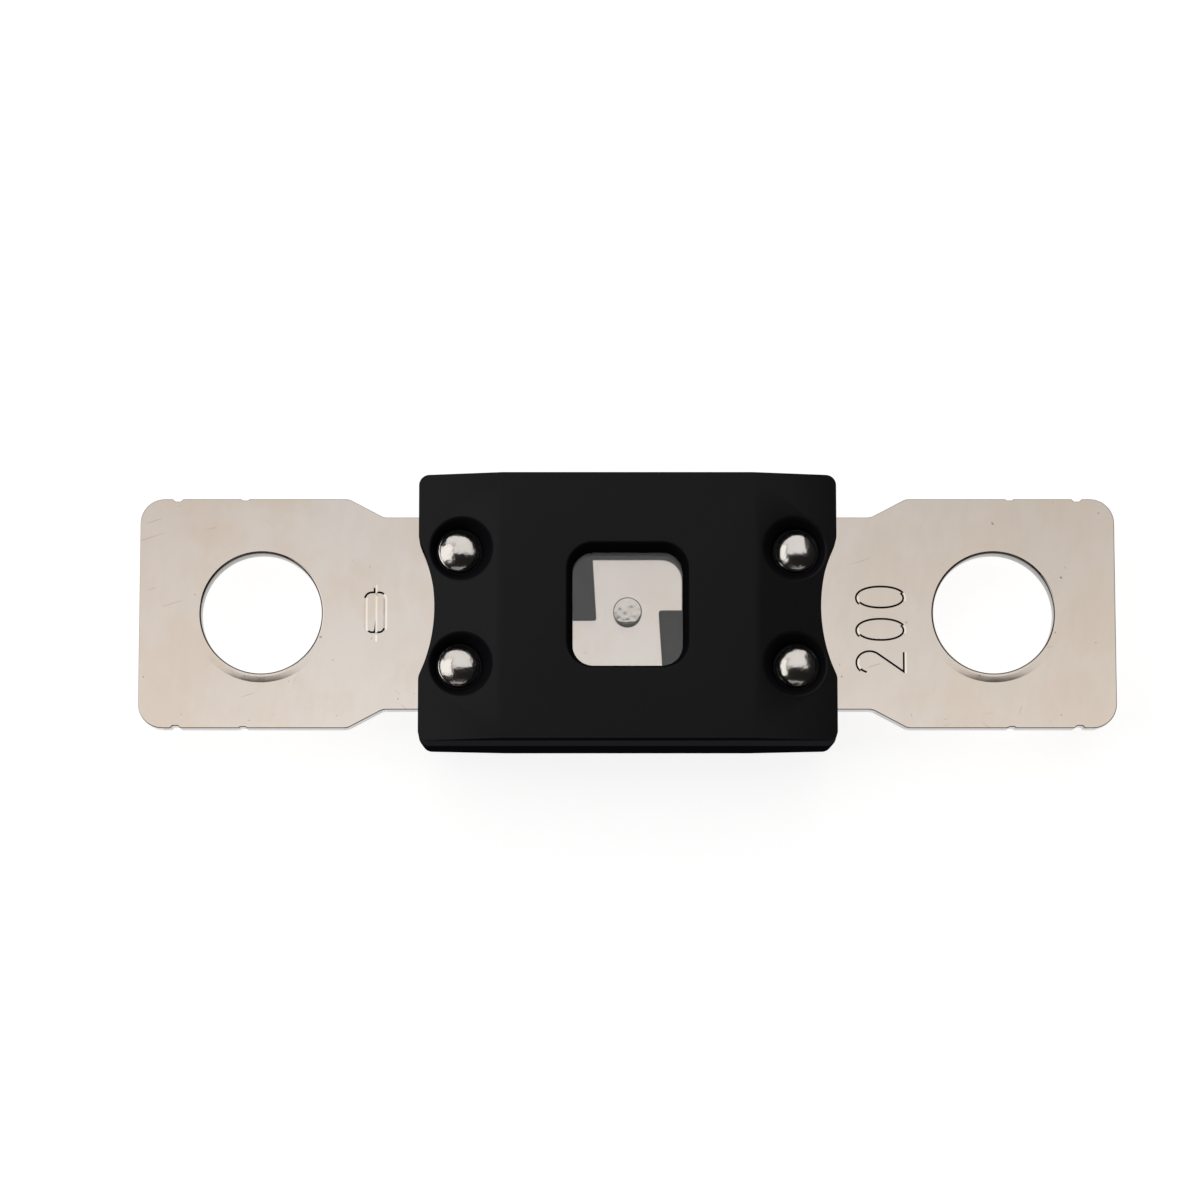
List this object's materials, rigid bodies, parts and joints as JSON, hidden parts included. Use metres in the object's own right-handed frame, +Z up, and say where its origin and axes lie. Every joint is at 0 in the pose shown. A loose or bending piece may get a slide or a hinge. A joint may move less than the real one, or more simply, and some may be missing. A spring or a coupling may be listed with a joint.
{
  "type": "bolt-down strip fuse",
  "caption": "Bolt-down strip fuse: a flat plated strip with a bolt hole in each end, clamped in a black moulded housing with a clear window over its fusible section.",
  "frame": {"origin": "middle of the lower housing's flat base, which it rests on", "axes": "+X along the strip, +Y across it, +Z up through the strip and out of the window"},
  "size_m": [0.068, 0.0186, 0.0107],
  "materials": {
    "plated_strip": "bright plated, lightly scratched",
    "tin": "pressed tin",
    "moulding": "satin black moulding",
    "clear_plate": "clear polished plastic",
    "rivet": "polished"
  },
  "bodies": {
    "root": {"fuse_strip": "plated_strip", "tin_pellet": "tin", "upper_housing": "moulding", "lower_housing": "moulding", "window_lens": "clear_plate", "rivet_left_front": "rivet", "rivet_left_back": "rivet", "rivet_right_front": "rivet", "rivet_right_back": "rivet"}
  },
  "joints": []
}
